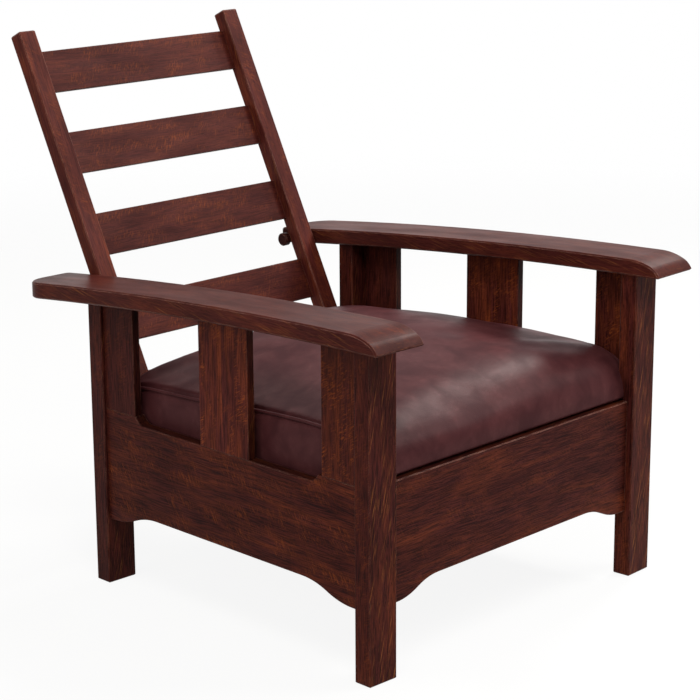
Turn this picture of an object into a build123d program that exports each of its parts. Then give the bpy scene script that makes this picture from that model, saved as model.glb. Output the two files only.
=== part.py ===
from build123d import *
import os
from math import asin, atan2, cos, degrees, hypot, pi, radians, sin, sqrt, tan

os.makedirs("parts", exist_ok=True)

# A mission reclining armchair: an oak frame with bowed arms, a back that hinges on the rear
# rail and leans on two pegs, and a loose leather seat cushion. All sizes are in millimetres.
# The front faces -Y and +Z is up. The origin is on the floor, under the middle of the chair.
# Right and left are the sitter's, so right is -X.
# "Back" is a distance behind the front faces of the front posts.
# Each side, with its posts, rail, slats, cleat and arm, is laid out square, and then turned
# about the outer front corner of its front post, so that the chair narrows to the rear.

# Posts
post_span = 734
post_width = 60
post_depth = 34
frame_depth = 689
side_inset = 24.5
post_ease = 1.5
foot_chamfer = 2

# Rails
rail_thickness = 20
rail_top = 323
rail_foot = 120
arch_rise = 24
rail_ease = 1.2
side_rail_recess = 6.5
side_ogee_start = 12
side_ogee_length = 116
front_land_overrun = 9
rear_land_overrun = 1
cove_drop = 13.5
cove_radius = 24
front_rail_recess = 11
front_ogee_start = 15
front_ogee_length = 100
rear_rail_recess = 15

# Side slats
side_slat_thickness = 15
end_slat_width = 79
middle_slat_width = 120
slat_ease = 0.8

# Arms
arm_thickness = 28.5
arm_width = 104.5
arm_overhang = 35
arm_tail = 145
arm_outer_round = 50
arm_inner_round = 10
arm_ease = 2.5
bow_radius = 9050
bow_top = 581
bow_lead = 154
nose_reach = 49.5
nose_start = 12
nose_lip = 3.5
nose_turn_share = 0.733
nose_drop_share = 0.32

# Tenons and their mortises
tenon_thickness = 9
tenon_shoulder = 10
tenon_root = 5
tenon_end_gap = 1
post_tenon_depth = 18
side_tenon_depth = 20
cross_tenon_depth = 28
slat_tenon_thickness = 6.5
slat_tenon_depth = 13

# Back frame, measured up the back from the hinge pin and forward from it
stile_arm_gap = 3.6
stile_width = 36
stile_thickness = 28.5
stile_length = 674
stile_ease = 2.5
back_slat_height = 77.5
back_slat_thickness = 8
back_slat_recess = 19
back_slat_top_shares = (0.9466, 0.717, 0.4868, 0.2481)
back_tenon_thickness = 5
back_tenon_depth = 16
bottom_rail_height = 30
bottom_rail_thickness = 22

# Pegs
peg_radius = 8
peg_tail = 87.5
peg_grip = 45
peg_play = 0.06
peg_head_radius = 12.5
peg_head_thickness = 12
peg_head_ease = 2

# Hinges
hinge_length = 64
hinge_inset = 82
leaf_width = 24
leaf_thickness = 2.5
knuckle_radius = 4
knuckle_sides = 16
knuckle_count = 3
knuckle_gap = 0.25
pin_radius = 2
pin_play = 0.05
pin_overrun = 1

# Seat deck
deck_height = 282
deck_slat_thickness = 16
deck_slat_width = 64
deck_slat_count = 6
deck_end_gap = 1
cleat_width = 20
cleat_height = 30

# Screws, as many-sided bars: shank radius, head radius and length
wood_screw = {"shank": 2.25, "head": 4, "length": 35}
hinge_screw = {"shank": 1.6, "head": 3.2, "length": 22}
screw_sides = 12
leaf_screw_share = 0.34

# Seat cushion: its crown, the welts along its sides, and the rolls at its front and rear
cushion_side_gap = 1.5
cushion_rear_gap = 6
cushion_thickness = 140
cushion_fall = 14
crown_fall_power = 3
cushion_bulge = 1.5
cushion_drawn_in = 3
cushion_corner_inset = 14
cushion_front_height = 70
front_roll = 70
rear_roll = 28
rear_roll_drop = 32
welt_front_height = 45
welt_height = 111
welt_fall = 26
shoulder_width = 52
shoulder_height = 13
front_roll_steps = 6
rear_roll_steps = 3
crown_steps = 5
quarter_turn = 90

# Clearances
seat_gap = 0.3
edge_gap = 0.5

# Places that follow from the sizes
side_turn = atan2(side_inset, frame_depth)
post_outer = post_span / 2
post_inner = post_outer - post_width
rear_post_back = frame_depth - post_depth
side_face = post_outer - side_rail_recess
side_inner = side_face - rail_thickness
slat_inner = side_face - side_slat_thickness
arm_outer = post_outer + arm_overhang
arm_inner = arm_outer - arm_width
arm_rear_end = frame_depth + arm_tail
arm_inset = arm_width - arm_overhang
front_rail_back = front_rail_recess + rail_thickness
rear_rail_face = frame_depth - rear_rail_recess
rear_rail_front = rear_rail_face - rail_thickness
middle_rail_top = rail_top - cove_drop
front_land_length = end_slat_width + front_land_overrun
rear_land_length = end_slat_width + rear_land_overrun
arch_height = rail_foot + arch_rise
cleat_inner = side_inner - cleat_width
cleat_top = deck_height - deck_slat_thickness
peg_setback = frame_depth + peg_tail


# How far back along a turned side a place is, from how far back it is in the chair
def along_side(inward, back):
    return (back + inward * sin(side_turn)) / cos(side_turn)


# How far from the chair's middle a face of a turned side is, at a place some way back. The
# face stands inward from the outer faces of the posts.
def reach(inward, back):
    return post_outer - inward / cos(side_turn) - back * tan(side_turn)


# Height of the bowed arm, or of a face that lies deeper in it
def bow_height(back, depth=0):
    rise = sqrt((bow_radius - depth) ** 2 - (back + bow_lead) ** 2)
    return bow_top - bow_radius + rise


# The pin lies behind the rear rail, and the pegs in the arms set how far the back leans
pivot_back = rear_rail_face + knuckle_radius + edge_gap
pivot_height = rail_top + leaf_thickness
stile_rear = knuckle_radius + edge_gap
stile_front = stile_rear + stile_thickness
stile_foot = leaf_thickness
peg_height = bow_height(along_side(arm_inset, peg_setback), arm_thickness / 2)
peg_run = peg_setback - pivot_back
peg_rise = peg_height - pivot_height
peg_offset = stile_rear - peg_radius - seat_gap
lean = atan2(peg_run, peg_rise) + asin(peg_offset / hypot(peg_run, peg_rise))
up_back = Vector(0, sin(lean), cos(lean))
off_back = Vector(0, -cos(lean), sin(lean))

# The back stands between the arms, and its hinges are set in from its stiles
peg_mouth = reach(arm_inset, peg_setback)
stile_outer = peg_mouth - stile_arm_gap
stile_inner = stile_outer - stile_width
hinge_place = stile_inner - hinge_inset

# The chair reaches from the arms' noses to the tops of the stiles, and the origin is between
stile_top = stile_foot + stile_length
front_reach = nose_reach * cos(side_turn) + (arm_inset - arm_ease) * sin(side_turn)
rear_reach = pivot_back + (stile_top - stile_ease) * sin(lean) - stile_rear * cos(lean)
front_y = (front_reach - rear_reach) / 2

floor_frame = Plane(origin=(0, front_y, 0))
pivot = Vector(0, front_y + pivot_back, pivot_height)
back_frame = Plane(origin=pivot, x_dir=(1, 0, 0), z_dir=off_back)
sides = (("right", -1), ("left", 1))


# Where a side laid out square stands in the chair
def side_place(side):
    corner = Location((side * post_outer, 0, 0), (0, 0, side * degrees(side_turn)))
    return corner * Location((-side * post_outer, 0, 0))


# A plane seen from the left side: its first axis is "back", its second is the height
def side_view(x):
    return Plane(origin=(x, front_y, 0), x_dir=(0, 1, 0), z_dir=(1, 0, 0))


# An upright plane seen from the front, some way back
def front_view(back):
    return Plane(origin=(0, front_y + back, 0), x_dir=(1, 0, 0), z_dir=(0, -1, 0))


# The range across the chair between two distances from its middle, on one side
def across(side, inner, outer):
    return sorted((side * inner, side * outer))


# A squared block between two places on each axis
def block(x, y, z, mode=Mode.ADD):
    with Locations(((x[0] + x[1]) / 2, (y[0] + y[1]) / 2, (z[0] + z[1]) / 2)):
        Box(x[1] - x[0], y[1] - y[0], z[1] - z[0], mode=mode)


# The top edge of a post or slat, cut to the arm's bowed underside, down to a level foot
def bow_outline(near, far, foot):
    middle = (near + far) / 2
    ThreePointArc(
        (near, bow_height(near, arm_thickness)),
        (middle, bow_height(middle, arm_thickness)),
        (far, bow_height(far, arm_thickness)),
    )
    Polyline(
        (near, bow_height(near, arm_thickness)),
        (near, foot),
        (far, foot),
        (far, bow_height(far, arm_thickness)),
    )


# Two equal arcs that join two level edges in an S
def ogee(start, end, heading):
    middle = ((start[0] + end[0]) / 2, (start[1] + end[1]) / 2)
    first = TangentArc(start, middle, tangent=(heading, 0))
    TangentArc(middle, end, tangent=first % 1)


# The stub tenon of a post, into the arm above it
def post_tenon(side, post_back, depth):
    x = across(side, post_inner + tenon_shoulder, post_outer - tenon_shoulder)
    y = (post_back + tenon_shoulder, post_back + post_depth - tenon_shoulder)
    shoulder = bow_height((y[0] + y[1]) / 2, arm_thickness)
    return x, y, (shoulder - tenon_root, shoulder + depth)


# The tenon of a side rail, into the front or the rear post
def side_tenon(side, front, depth):
    middle = (side_inner + side_face) / 2
    x = across(side, middle - tenon_thickness / 2, middle + tenon_thickness / 2)
    y = (post_depth - depth, post_depth + tenon_root)
    if not front:
        y = (rear_post_back - tenon_root, rear_post_back + depth)
    return x, y, (rail_foot + tenon_shoulder, rail_top - tenon_shoulder)


# The tenon of the front or the rear rail, into a post
def cross_tenon(side, front, depth):
    x = across(side, post_inner - tenon_root, post_inner + depth)
    rail_back = front_rail_back if front else rear_rail_face
    middle = along_side(post_width, rail_back - rail_thickness / 2)
    y = (middle - tenon_thickness / 2, middle + tenon_thickness / 2)
    return x, y, (rail_foot + tenon_shoulder, rail_top - tenon_shoulder)


# The tenons at the foot and the head of a side slat
def slat_tenons(side, near, far, foot, depth):
    middle = (slat_inner + side_face) / 2
    x = across(side, middle - slat_tenon_thickness / 2, middle + slat_tenon_thickness / 2)
    y = (near + tenon_shoulder, far - tenon_shoulder)
    shoulder = bow_height((near + far) / 2, arm_thickness)
    return (
        (x, y, (foot - depth, foot + tenon_root)),
        (x, y, (shoulder - tenon_root, shoulder + depth)),
    )


# The tenon of a cross piece of the back, into a stile
def back_tenon(side, low, high, rear, front, depth):
    x = across(side, stile_inner - tenon_root, stile_inner + depth)
    middle = (rear + front) / 2
    z = (middle - back_tenon_thickness / 2, middle + back_tenon_thickness / 2)
    return x, (low + tenon_shoulder, high - tenon_shoulder), z


# Countersunk screws, each at a place whose Z axis points out of its head. Cut away, the same
# form is the screw's own hole.
def screws(places, size, mode=Mode.ADD):
    with BuildPart(mode=Mode.PRIVATE) as screw:
        with BuildSketch():
            RegularPolygon(size["shank"], screw_sides)
        extrude(amount=-size["length"])
        with BuildSketch():
            RegularPolygon(size["head"], screw_sides)
        with BuildSketch(Plane.XY.offset(size["shank"] - size["head"])):
            RegularPolygon(size["shank"], screw_sides)
        loft()
    with Locations(*places):
        add(screw.part, mode=mode)


def save(piece, name):
    piece.part.label = name
    export_step(piece.part, f"parts/{name}.step")


# A piece of one side, turned into its place with that side
def save_turned(piece, side, name):
    corner = Axis((side * post_outer, front_y, 0), (0, 0, 1))
    turned = piece.part.rotate(corner, side * degrees(side_turn))
    turned.label = name
    export_step(turned, f"parts/{name}.step")


# The end of the front or the rear rail, cut to a turned post and tenoned into it
def cross_end(side, front):
    with Locations(side_place(side)):
        block(across(side, post_inner, post_outer), (0, frame_depth), (0, rail_top), Mode.SUBTRACT)
        block(*cross_tenon(side, front, cross_tenon_depth))


# Side slats: a narrow one against each post and a wide one in the middle
slat_middle = (post_depth + rear_post_back) / 2
side_slats = {
    "front": (post_depth, post_depth + end_slat_width, rail_top),
    "middle": (
        slat_middle - middle_slat_width / 2,
        slat_middle + middle_slat_width / 2,
        middle_rail_top,
    ),
    "rear": (rear_post_back - end_slat_width, rear_post_back, rail_top),
}

# Cross pieces of the back: low edge, high edge, rear face and front face
slat_front = stile_front - back_slat_recess
back_pieces = {
    "back_bottom_rail": (
        stile_foot,
        stile_foot + bottom_rail_height,
        stile_rear,
        stile_rear + bottom_rail_thickness,
    )
}
for index, share in enumerate(back_slat_top_shares):
    slat_top = stile_foot + stile_length * share
    back_pieces[f"back_slat_{index + 1}"] = (
        slat_top - back_slat_height,
        slat_top,
        slat_front - back_slat_thickness,
        slat_front,
    )

# Seat deck slats: evenly spaced between the front rail and the rear posts
seat_front = max(post_depth, front_rail_back)
seat_rear = min(rear_post_back * cos(side_turn) - post_width * sin(side_turn), rear_rail_front)
deck_start = seat_front + deck_end_gap
deck_run = seat_rear - deck_end_gap - deck_slat_width - deck_start
deck_pitch = deck_run / (deck_slat_count - 1)
deck_places = [deck_start + index * deck_pitch for index in range(deck_slat_count)]
cleat_middle = (cleat_inner + side_inner) / 2


# The screws of one deck slat, one above each cleat
def deck_screws_at(place):
    middle = place + deck_slat_width / 2
    x = reach(post_outer - cleat_middle, middle)
    return [Location((side * x, middle, deck_height)) for _, side in sides]


deck_screw_places = [seat for place in deck_places for seat in deck_screws_at(place)]


# Cleat screws stand between the deck slats, in every second gap
def cleat_screw_places(side):
    seats = []
    for place in deck_places[:-1:2]:
        back = place + (deck_slat_width + deck_pitch) / 2
        origin = (side * cleat_inner, back, cleat_top - cleat_height / 2)
        seats.append(Plane(origin=origin, x_dir=(0, 1, 0), z_dir=(-side, 0, 0)).location)
    return seats


# Screw places of a hinge leaf that lies in the plane of its first two axes
leaf_screw_back = stile_rear + bottom_rail_thickness / 2


def leaf_screw_places(leaf_frame):
    step = hinge_length * leaf_screw_share
    return [leaf_frame * Location((shift, -leaf_screw_back, 0)) for shift in (-step, 0, step)]


# Each leaf's frame has its origin on the pin, and the leaf reaches along -Y, under Z = 0
def lower_leaf_frame(side):
    origin = (side * hinge_place, front_y + pivot_back, pivot_height)
    return Plane(origin=origin).location


def upper_leaf_frame(side):
    origin = (side * hinge_place, front_y + pivot_back, pivot_height)
    return Plane(origin=origin, x_dir=(-1, 0, 0), z_dir=-up_back).location


lower_screw_places = [seat for _, side in sides for seat in leaf_screw_places(lower_leaf_frame(side))]
upper_screw_places = [seat for _, side in sides for seat in leaf_screw_places(upper_leaf_frame(side))]

# Posts
for side_name, side in sides:
    for end_name, post_back in (("front", 0), ("rear", rear_post_back)):
        front = end_name == "front"
        with BuildPart(floor_frame) as post:
            with BuildSketch(side_view(across(side, post_inner, post_outer)[0])):
                with BuildLine():
                    bow_outline(post_back, post_back + post_depth, 0)
                make_face()
            extrude(amount=post_width)
            chamfer(post.edges().group_by(Axis.Z)[0], foot_chamfer)
            chamfer(post.edges().filter_by(Axis.Z), post_ease)
            block(*post_tenon(side, post_back, post_tenon_depth))
            block(*side_tenon(side, front, side_tenon_depth + tenon_end_gap), mode=Mode.SUBTRACT)
            block(*cross_tenon(side, front, cross_tenon_depth + tenon_end_gap), mode=Mode.SUBTRACT)
        save_turned(post, side, f"{side_name}_{end_name}_post")

# Side rails: a raised land and a cove at each end of the top, and an arched lower edge
for side_name, side in sides:
    with BuildPart(floor_frame) as side_rail:
        with BuildSketch(side_view(across(side, side_inner, side_face)[0])):
            with BuildLine():
                front_ogee_back = post_depth + side_ogee_start
                rear_ogee_back = rear_post_back - side_ogee_start
                arch_start = (front_ogee_back + side_ogee_length, arch_height)
                arch_end = (rear_ogee_back - side_ogee_length, arch_height)
                Line((post_depth, rail_foot), (front_ogee_back, rail_foot))
                ogee((front_ogee_back, rail_foot), arch_start, 1)
                Line(arch_start, arch_end)
                ogee(arch_end, (rear_ogee_back, rail_foot), 1)
                Line((rear_ogee_back, rail_foot), (rear_post_back, rail_foot))
                front_land_end = post_depth + front_land_length
                rear_land_end = rear_post_back - rear_land_length
                cove_run = sqrt(cove_radius**2 - (cove_radius - cove_drop) ** 2)
                cove_start = (front_land_end + cove_run, middle_rail_top)
                cove_end = (rear_land_end - cove_run, middle_rail_top)
                Polyline((post_depth, rail_foot), (post_depth, rail_top), (front_land_end, rail_top))
                TangentArc(cove_start, (front_land_end, rail_top), tangent=(-1, 0))
                Line(cove_start, cove_end)
                TangentArc(cove_end, (rear_land_end, rail_top), tangent=(1, 0))
                Polyline(
                    (rear_land_end, rail_top),
                    (rear_post_back, rail_top),
                    (rear_post_back, rail_foot),
                )
            make_face()
        extrude(amount=rail_thickness)
        outer_face = side_rail.faces().filter_by(Axis.X).sort_by(Axis.X)[-1 if side > 0 else 0]
        chamfer(outer_face.edges().filter_by(Axis.Z, reverse=True), rail_ease)
        for front in (True, False):
            block(*side_tenon(side, front, side_tenon_depth))
        for near, far, foot in side_slats.values():
            mortise, _ = slat_tenons(side, near, far, foot, slat_tenon_depth + tenon_end_gap)
            block(*mortise, mode=Mode.SUBTRACT)
        screws(cleat_screw_places(side), wood_screw, mode=Mode.SUBTRACT)
    save_turned(side_rail, side, f"{side_name}_side_rail")

# Front rail, with the same arched lower edge
with BuildPart(floor_frame) as front_rail:
    with BuildSketch(front_view(front_rail_back)):
        with BuildLine():
            ogee_foot = post_inner - front_ogee_start
            ogee_head = ogee_foot - front_ogee_length
            Line((-ogee_head, arch_height), (ogee_head, arch_height))
            for _, side in sides:
                ogee((side * ogee_head, arch_height), (side * ogee_foot, rail_foot), side)
                Polyline(
                    (side * ogee_foot, rail_foot),
                    (side * post_inner, rail_foot),
                    (side * post_inner, rail_top),
                )
            Line((-post_inner, rail_top), (post_inner, rail_top))
        make_face()
    extrude(amount=rail_thickness)
    outer_face = front_rail.faces().filter_by(Axis.Y).sort_by(Axis.Y)[0]
    chamfer(outer_face.edges().filter_by(Axis.Z, reverse=True), rail_ease)
    for _, side in sides:
        cross_end(side, True)
save(front_rail, "front_rail")

# Rear rail, which carries the hinges
with BuildPart(floor_frame) as rear_rail:
    block(
        (-post_inner, post_inner),
        (rear_rail_front, rear_rail_face),
        (rail_foot, rail_top),
    )
    chamfer(rear_rail.faces().sort_by(Axis.Y)[-1].edges().filter_by(Axis.X), rail_ease)
    for _, side in sides:
        cross_end(side, False)
    hinge_seats = [floor_frame.location.inverse() * seat for seat in lower_screw_places]
    screws(hinge_seats, hinge_screw, mode=Mode.SUBTRACT)
save(rear_rail, "rear_rail")

# Side slats
for side_name, side in sides:
    for slat_name, (near, far, foot) in side_slats.items():
        with BuildPart(floor_frame) as side_slat:
            with BuildSketch(side_view(across(side, slat_inner, side_face)[0])):
                with BuildLine():
                    bow_outline(near, far, foot)
                make_face()
            extrude(amount=side_slat_thickness)
            chamfer(side_slat.edges().filter_by(Axis.Z), slat_ease)
            for tenon in slat_tenons(side, near, far, foot, slat_tenon_depth):
                block(*tenon)
        save_turned(side_slat, side, f"{side_name}_{slat_name}_slat")

# Arms: bowed, with a rolled nose at the front and a large rounding at the outer rear corner
for side_name, side in sides:
    with BuildPart(floor_frame) as arm:
        with BuildSketch(side_view(across(side, arm_inner, arm_outer)[0])):
            with BuildLine():
                bow_middle = arm_rear_end / 2
                top = ThreePointArc(
                    (arm_rear_end, bow_height(arm_rear_end)),
                    (bow_middle, bow_height(bow_middle)),
                    (nose_start, bow_height(nose_start)),
                )
                nose_length = nose_start + nose_reach
                turn = (
                    nose_start - nose_length * nose_turn_share,
                    bow_height(nose_start) - arm_thickness * nose_drop_share,
                )
                roll = TangentArc(top @ 1, turn, tangent=top % 1)
                nose_foot = bow_height(-nose_reach, arm_thickness)
                nose_tip = (-nose_reach, nose_foot + nose_lip)
                TangentArc(turn, nose_tip, tangent=roll % 1)
                Line(nose_tip, (-nose_reach, nose_foot))
                ThreePointArc(
                    (-nose_reach, nose_foot),
                    (bow_middle, bow_height(bow_middle, arm_thickness)),
                    (arm_rear_end, bow_height(arm_rear_end, arm_thickness)),
                )
                Line(
                    (arm_rear_end, bow_height(arm_rear_end, arm_thickness)),
                    (arm_rear_end, bow_height(arm_rear_end)),
                )
            make_face()
        extrude(amount=arm_width)
        for radius, place in ((arm_outer_round, -1), (arm_inner_round, 0)):
            rear_corners = arm.edges().filter_by(Axis.Z).group_by(Axis.Y)[-1]
            fillet(rear_corners.sort_by(Axis.X)[::side][place], radius)
        upright = arm.edges().filter_by(Axis.Z)
        crosswise = arm.edges().filter_by(Axis.X)
        eased = arm.edges().filter_by(Axis.X, reverse=True).filter_by(Axis.Z, reverse=True)
        eased += crosswise.group_by(Axis.Y)[-1] + upright.group_by(Axis.Y)[0]
        eased.append(crosswise.group_by(Axis.Y)[0].sort_by(Axis.Z)[0])
        chamfer(eased, arm_ease)
        for post_back in (0, rear_post_back):
            mortise = post_tenon(side, post_back, post_tenon_depth + tenon_end_gap)
            block(*mortise, mode=Mode.SUBTRACT)
        for near, far, foot in side_slats.values():
            _, mortise = slat_tenons(side, near, far, foot, slat_tenon_depth + tenon_end_gap)
            block(*mortise, mode=Mode.SUBTRACT)
        mouth = (side * (peg_mouth - tenon_end_gap), peg_setback, peg_height)
        hole_place = Plane(origin=mouth, z_dir=(-side, 0, 0)).location
        with Locations(side_place(side).inverse() * hole_place):
            Hole(peg_radius + peg_play, tenon_end_gap + peg_grip + tenon_end_gap)
    save_turned(arm, side, f"{side_name}_arm")

# Pegs, turned with a disc head that stands just inside the stile
for side_name, side in sides:
    with BuildPart() as peg:
        peg_origin = (0, front_y + peg_setback, peg_height)
        with BuildSketch(Plane(origin=peg_origin, x_dir=(side, 0, 0), z_dir=(0, -side, 0))):
            with BuildLine():
                head_back = stile_inner - edge_gap
                head_face = head_back - peg_head_thickness
                tip = peg_mouth + peg_grip
                Polyline(
                    (head_face, 0),
                    (head_face, peg_head_radius - peg_head_ease),
                    (head_face + peg_head_ease, peg_head_radius),
                    (head_back, peg_head_radius),
                    (head_back, peg_radius),
                    (tip, peg_radius),
                    (tip, 0),
                    (head_face, 0),
                )
            make_face()
        revolve(axis=Axis(peg_origin, (1, 0, 0)))
    save(peg, f"{side_name}_peg")

# Stiles of the back
for side_name, side in sides:
    with BuildPart(back_frame) as stile:
        block(
            across(side, stile_inner, stile_outer),
            (stile_foot, stile_top),
            (stile_rear, stile_front),
        )
        top_face = stile.faces().sort_by(Axis((0, 0, 0), up_back))[-1]
        chamfer(top_face.edges(), stile_ease)
        chamfer(stile.edges().filter_by(Axis((0, 0, 0), up_back)), post_ease)
        for low, high, rear, front in back_pieces.values():
            depth = back_tenon_depth + tenon_end_gap
            block(*back_tenon(side, low, high, rear, front, depth), mode=Mode.SUBTRACT)
    save(stile, f"{side_name}_stile")

# Cross pieces of the back: four flat slats and the bottom rail
for name, (low, high, rear, front) in back_pieces.items():
    with BuildPart(back_frame) as back_piece:
        block((-stile_inner, stile_inner), (low, high), (rear, front))
        chamfer(back_piece.edges().filter_by(Axis.X), slat_ease)
        for _, side in sides:
            block(*back_tenon(side, low, high, rear, front, back_tenon_depth))
        if name == "back_bottom_rail":
            hinge_seats = [back_frame.location.inverse() * seat for seat in upper_screw_places]
            screws(hinge_seats, hinge_screw, mode=Mode.SUBTRACT)
    save(back_piece, name)

# Hinges: the lower leaf's two outer knuckles hold the pin, and the upper leaf turns on it
barrel_end = hinge_length / 2
barrel_split = barrel_end / knuckle_count
outer_barrels = ((-barrel_end, -barrel_split), (barrel_split, barrel_end))
middle_barrel = ((knuckle_gap - barrel_split, barrel_split - knuckle_gap),)


def hinge_leaf(leaf_frame, barrels, bore, name):
    reach = knuckle_radius + edge_gap
    along_pin = (0, quarter_turn, 0)
    with BuildPart(Plane(leaf_frame)) as leaf:
        block((-barrel_end, barrel_end), (-leaf_width, -reach), (-leaf_thickness, 0))
        for low, high in barrels:
            block((low, high), (-reach, 0), (-leaf_thickness, 0))
            with BuildSketch(Plane(leaf_frame * Location((low, 0, 0), along_pin))):
                RegularPolygon(knuckle_radius, knuckle_sides)
            extrude(amount=high - low)
        with Locations(Location((0, 0, 0), along_pin)):
            Cylinder(bore, hinge_length, mode=Mode.SUBTRACT)
        seats = [leaf_frame.inverse() * seat for seat in leaf_screw_places(leaf_frame)]
        screws(seats, hinge_screw, mode=Mode.SUBTRACT)
    save(leaf, name)


for side_name, side in sides:
    name = f"{side_name}_hinge"
    hinge_leaf(lower_leaf_frame(side), outer_barrels, pin_radius, f"{name}_lower_leaf")
    hinge_leaf(upper_leaf_frame(side), middle_barrel, pin_radius + pin_play, f"{name}_upper_leaf")
    with BuildPart() as hinge_pin:
        with BuildSketch(Plane.YZ.offset(side * hinge_place)):
            with Locations((front_y + pivot_back, pivot_height)):
                Circle(pin_radius)
        extrude(amount=barrel_end + pin_overrun, both=True)
    save(hinge_pin, f"{name}_pin")

with BuildPart() as hinge_lower_screws:
    screws(lower_screw_places, hinge_screw)
save(hinge_lower_screws, "hinge_lower_screws")

with BuildPart() as hinge_upper_screws:
    screws(upper_screw_places, hinge_screw)
save(hinge_upper_screws, "hinge_upper_screws")

# Cleats along the side rails, and the deck slats that lie on them
for side_name, side in sides:
    with BuildPart(floor_frame) as cleat:
        block(
            across(side, cleat_inner, side_inner),
            (post_depth + deck_end_gap, rear_post_back - deck_end_gap),
            (cleat_top - cleat_height, cleat_top),
        )
        above = [seat for seat in deck_screw_places if seat.position.X * side > 0]
        seats = [side_place(side).inverse() * seat for seat in above]
        screws(cleat_screw_places(side) + seats, wood_screw, mode=Mode.SUBTRACT)
    save_turned(cleat, side, f"{side_name}_seat_cleat")

for index, place in enumerate(deck_places):
    with BuildPart(floor_frame) as deck_slat:
        block(
            (deck_end_gap - side_inner, side_inner - deck_end_gap),
            (place, place + deck_slat_width),
            (cleat_top, deck_height),
        )
        chamfer(deck_slat.edges().filter_by(Axis.X), slat_ease)
        for _, side in sides:
            beyond = across(side, side_inner - deck_end_gap, post_outer)
            with Locations(side_place(side)):
                block(beyond, (0, frame_depth), (cleat_top, deck_height), Mode.SUBTRACT)
        screws(deck_screws_at(place), wood_screw, mode=Mode.SUBTRACT)
    save(deck_slat, f"seat_slat_{index + 1}")

with BuildPart(floor_frame) as cleat_screws:
    for _, side in sides:
        screws([side_place(side) * seat for seat in cleat_screw_places(side)], wood_screw)
save(cleat_screws, "cleat_screws")

with BuildPart(floor_frame) as deck_screws:
    screws(deck_screw_places, wood_screw)
save(deck_screws, "deck_screws")


# One upright section across the cushion: bottom, bulging sides, shoulders and crown
def cushion_section(half, low, welt, crown):
    shoulder = (half - shoulder_width, crown - shoulder_height)
    Line((-half, low), (half, low))
    top = ThreePointArc((-shoulder[0], shoulder[1]), (0, crown), shoulder)
    slope = top % 1
    for _, side in sides:
        bulge = (side * (half + cushion_bulge), (low + welt) / 2)
        ThreePointArc((side * half, low), bulge, (side * half, welt))
        TangentArc(
            (side * shoulder[0], shoulder[1]),
            (side * half, welt),
            tangent=(side * slope.X, slope.Y),
        )


# The cushion lies on the deck, behind the front rail, and stops short of the swinging back
cushion_low = deck_height + seat_gap
cushion_front = seat_front + seat_gap
cushion_rear = min(seat_rear, pivot_back - stile_front) - cushion_rear_gap
cushion_inset = post_outer - side_inner + cushion_side_gap + cushion_bulge
crown_start = cushion_front + front_roll
crown_end = cushion_rear - rear_roll


# Half width, welt and crown at one place: a share of the way back along the crowned top,
# and a turn of 0 to 90 degrees through the roll that leads to it
def cushion_form(back, share, turn, front):
    rise = sin(radians(turn))
    crown = cushion_thickness - cushion_fall * share**crown_fall_power
    welt = welt_height - welt_fall * share
    crown_foot = cushion_front_height if front else crown - rear_roll_drop
    welt_foot = welt_front_height if front else welt - rear_roll_drop
    half = reach(cushion_inset, back) - cushion_corner_inset * (1 - rise)
    half -= cushion_drawn_in * sin(pi * share)
    return half, welt_foot + (welt - welt_foot) * rise, crown_foot + (crown - crown_foot) * rise


stations = []
for step in range(front_roll_steps):
    turn = quarter_turn * step / front_roll_steps
    stations.append((crown_start - front_roll * cos(radians(turn)), 0, turn, True))
for step in range(crown_steps + 1):
    share = step / crown_steps
    stations.append((crown_start + (crown_end - crown_start) * share, share, quarter_turn, True))
for step in range(rear_roll_steps):
    turn = quarter_turn * (rear_roll_steps - 1 - step) / rear_roll_steps
    stations.append((crown_end + rear_roll * cos(radians(turn)), 1, turn, False))

# Seat cushion: rolled over at the front, crowned, and lower towards the back
with BuildPart() as seat_cushion:
    for back, share, turn, front in stations:
        half, welt, crown = cushion_form(back, share, turn, front)
        with BuildSketch(front_view(back)):
            with BuildLine():
                cushion_section(half, cushion_low, cushion_low + welt, cushion_low + crown)
            make_face()
    loft(ruled=True)
save(seat_cushion, "seat_cushion")
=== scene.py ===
import bpy
import math
from mathutils import Matrix, Vector, noise
from mathutils.bvhtree import BVHTree
from mathutils.kdtree import KDTree


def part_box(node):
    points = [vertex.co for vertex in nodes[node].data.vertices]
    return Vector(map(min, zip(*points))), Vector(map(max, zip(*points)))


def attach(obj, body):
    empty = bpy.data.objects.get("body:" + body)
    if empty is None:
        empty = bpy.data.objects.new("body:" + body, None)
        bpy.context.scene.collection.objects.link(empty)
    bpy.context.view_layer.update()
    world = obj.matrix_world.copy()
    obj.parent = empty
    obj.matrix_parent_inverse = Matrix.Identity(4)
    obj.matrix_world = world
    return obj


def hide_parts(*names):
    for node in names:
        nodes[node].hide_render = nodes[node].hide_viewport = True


# A mission reclining armchair in fumed quarter-sawn oak, with a loose oxblood leather cushion.
# Everything is in metres; sizes given in millimetres are multiplied by mm.
mm = 0.001
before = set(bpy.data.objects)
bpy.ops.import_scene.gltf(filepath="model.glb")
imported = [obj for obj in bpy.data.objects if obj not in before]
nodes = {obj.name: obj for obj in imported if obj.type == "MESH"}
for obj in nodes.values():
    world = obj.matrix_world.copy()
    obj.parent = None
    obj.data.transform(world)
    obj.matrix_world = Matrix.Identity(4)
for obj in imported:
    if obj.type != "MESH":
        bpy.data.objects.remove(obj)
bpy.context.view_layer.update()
print("frame loaded:", len(nodes), "pieces")


def hexToLinear(code):
    channels = [int(code[i:i + 2], 16) / 255 for i in (0, 2, 4)]
    linear = [c / 12.92 if c <= 0.04045 else ((c + 0.055) / 1.055) ** 2.4 for c in channels]
    return (*linear, 1.0)


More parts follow.
